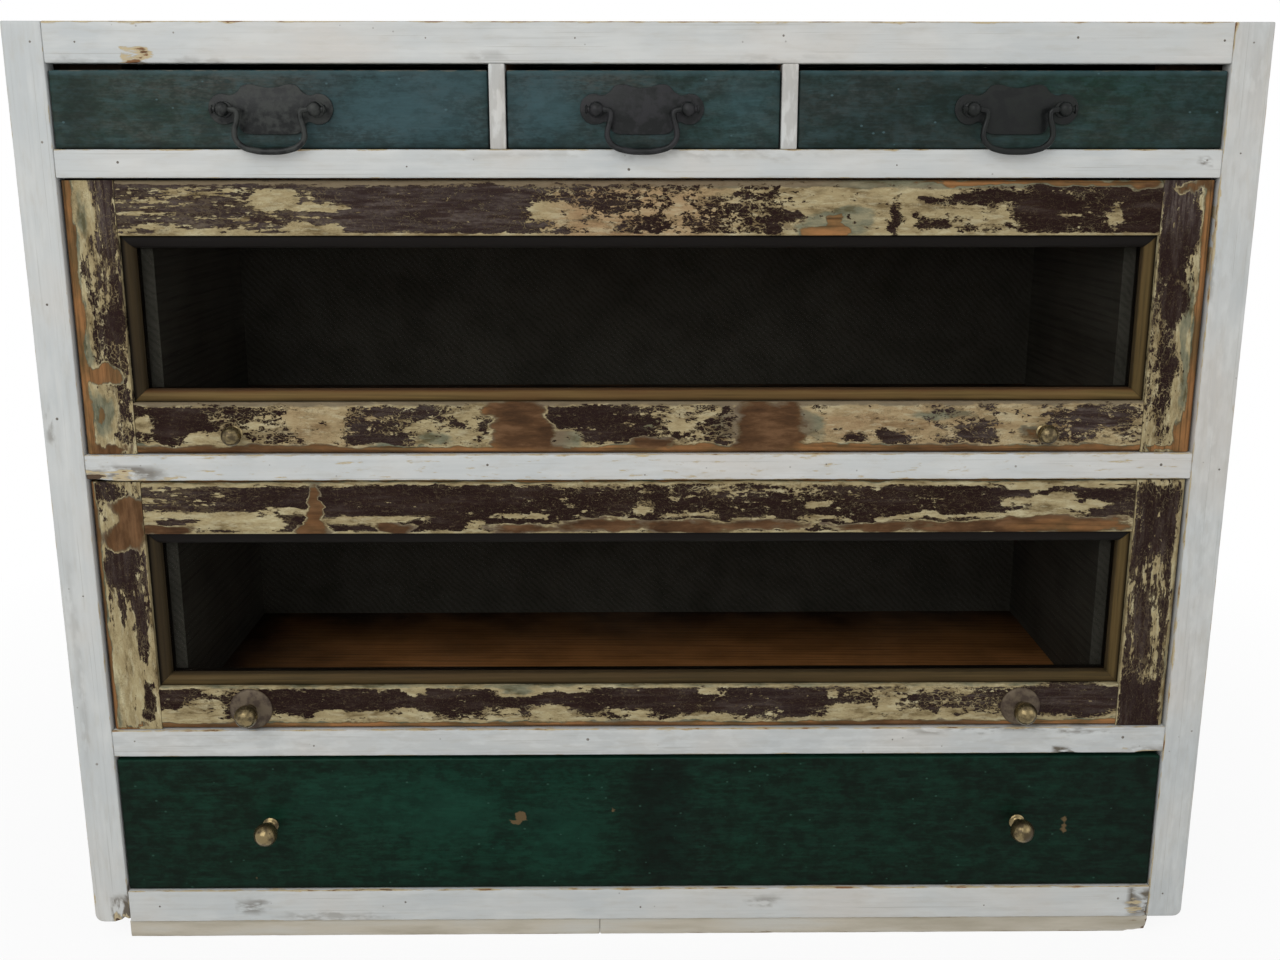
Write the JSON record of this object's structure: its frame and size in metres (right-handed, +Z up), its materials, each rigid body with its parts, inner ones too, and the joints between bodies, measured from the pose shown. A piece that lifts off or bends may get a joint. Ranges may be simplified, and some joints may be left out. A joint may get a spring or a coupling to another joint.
{
  "type": "chest of drawers",
  "caption": "Painted wooden chest with small drawers along the top, wide glass-fronted drawers in the middle and a deep drawer at the foot.",
  "frame": {"origin": "on the floor, under the middle of the whole object, knobs included", "axes": "+X to the right seen from the front, +Y to the back, +Z up; the drawers pull out along -Y"},
  "size_m": [1.2, 0.411, 0.964],
  "materials": {
    "frame_paint": "satin",
    "top_green": "satin",
    "bottom_green": "satin",
    "sash_paint": "matte",
    "bead_wood": "satin",
    "carcass_pine": "matte",
    "box_pine": "matte",
    "box_floor": "matte",
    "back_pine": "matte",
    "plinth_paint": "satin",
    "pane_glass": "gloss",
    "handle_iron": "satin",
    "knob_brass": "satin"
  },
  "bodies": {
    "carcass": {"left_stile": "frame_paint", "right_stile": "frame_paint", "top_rail": "frame_paint", "upper_rail": "frame_paint", "middle_rail": "frame_paint", "lower_rail": "frame_paint", "bottom_rail": "frame_paint", "dividers": "frame_paint", "left_side_panel": "frame_paint", "right_side_panel": "frame_paint", "top_board": "frame_paint", "top_drawer_shelf": "carcass_pine", "upper_shelf": "carcass_pine", "lower_shelf": "carcass_pine", "bottom_shelf": "carcass_pine", "corner_posts": "carcass_pine", "drawer_partitions": "carcass_pine", "drawer_guides": "carcass_pine", "back_boards": "back_pine", "plinth": "plinth_paint"},
    "left_drawer": {"left_drawer_front": "top_green", "left_drawer_box": "box_pine", "left_drawer_bottom": "box_floor", "left_handle_plate": "handle_iron", "left_handle_posts": "handle_iron"},
    "left_bail": {"left_handle_bail": "handle_iron"},
    "middle_drawer": {"middle_drawer_front": "top_green", "middle_drawer_box": "box_pine", "middle_drawer_bottom": "box_floor", "middle_handle_plate": "handle_iron", "middle_handle_posts": "handle_iron"},
    "middle_bail": {"middle_handle_bail": "handle_iron"},
    "right_drawer": {"right_drawer_front": "top_green", "right_drawer_box": "box_pine", "right_drawer_bottom": "box_floor", "right_handle_plate": "handle_iron", "right_handle_posts": "handle_iron"},
    "right_bail": {"right_handle_bail": "handle_iron"},
    "bottom_drawer": {"bottom_drawer_front": "bottom_green", "bottom_drawer_box": "box_pine", "bottom_drawer_bottom": "box_floor", "bottom_drawer_knobs": "knob_brass"},
    "upper_glazed_drawer": {"upper_sash_left_stile": "sash_paint", "upper_sash_right_stile": "sash_paint", "upper_sash_top_rail": "sash_paint", "upper_sash_bottom_rail": "sash_paint", "upper_glass": "pane_glass", "upper_glazing_beads": "bead_wood", "upper_sash_knobs": "knob_brass", "upper_glazed_box": "box_pine", "upper_glazed_bottom": "box_floor"},
    "lower_glazed_drawer": {"lower_sash_left_stile": "sash_paint", "lower_sash_right_stile": "sash_paint", "lower_sash_top_rail": "sash_paint", "lower_sash_bottom_rail": "sash_paint", "lower_glass": "pane_glass", "lower_glazing_beads": "bead_wood", "lower_sash_knobs": "knob_brass", "lower_glazed_box": "box_pine", "lower_glazed_bottom": "box_floor"}
  },
  "joints": [
    {"name": "left_drawer_slide", "type": "slide", "parent": "carcass", "child": "left_drawer", "axis": [0, -1, 0], "range_m": [0, 0.25]},
    {"name": "left_bail_hinge", "type": "hinge", "parent": "left_drawer", "child": "left_bail", "pos_m": [-0.35213, -0.1833, 0.8838], "axis": [-1, 0, 0], "range_deg": [-5, 170]},
    {"name": "middle_drawer_slide", "type": "slide", "parent": "carcass", "child": "middle_drawer", "axis": [0, -1, 0], "range_m": [0, 0.25]},
    {"name": "middle_bail_hinge", "type": "hinge", "parent": "middle_drawer", "child": "middle_bail", "pos_m": [0.0015, -0.1833, 0.8838], "axis": [-1, 0, 0], "range_deg": [-5, 170]},
    {"name": "right_drawer_slide", "type": "slide", "parent": "carcass", "child": "right_drawer", "axis": [0, -1, 0], "range_m": [0, 0.25]},
    {"name": "right_bail_hinge", "type": "hinge", "parent": "right_drawer", "child": "right_bail", "pos_m": [0.36012, -0.1833, 0.8838], "axis": [-1, 0, 0], "range_deg": [-5, 170]},
    {"name": "bottom_drawer_slide", "type": "slide", "parent": "carcass", "child": "bottom_drawer", "axis": [0, -1, 0], "range_m": [0, 0.25]},
    {"name": "upper_glazed_drawer_slide", "type": "slide", "parent": "carcass", "child": "upper_glazed_drawer", "axis": [0, -1, 0], "range_m": [0, 0.25]},
    {"name": "lower_glazed_drawer_slide", "type": "slide", "parent": "carcass", "child": "lower_glazed_drawer", "axis": [0, -1, 0], "range_m": [0, 0.25]}
  ]
}
